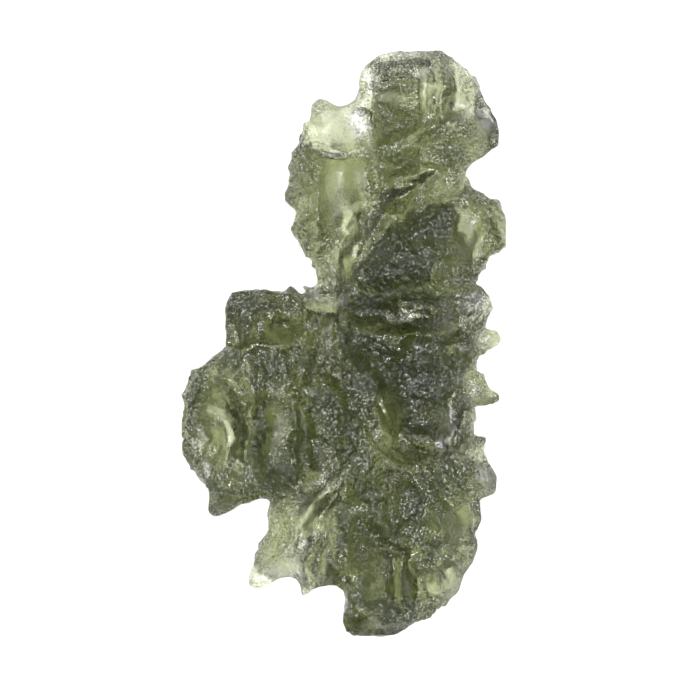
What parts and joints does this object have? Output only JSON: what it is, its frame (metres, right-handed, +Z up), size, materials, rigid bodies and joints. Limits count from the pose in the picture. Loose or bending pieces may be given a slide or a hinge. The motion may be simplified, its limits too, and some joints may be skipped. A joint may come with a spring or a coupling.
{
  "type": "moldavite",
  "caption": "Flat, deeply etched natural glass pebble with thin ragged rims, ribs, grooves and pits, lying on its back.",
  "frame": {"origin": "under the middle of the stone's box, on the surface that it lies on", "axes": "+X across the stone, +Y along it towards the rounded crown, +Z up from the surface that it lies on"},
  "size_m": [0.0178, 0.032, 0.0081],
  "materials": {
    "olive_glass": "etched, half frosted, see-through where thin"
  },
  "bodies": {
    "root": {"moldavite": "olive_glass"}
  },
  "joints": []
}
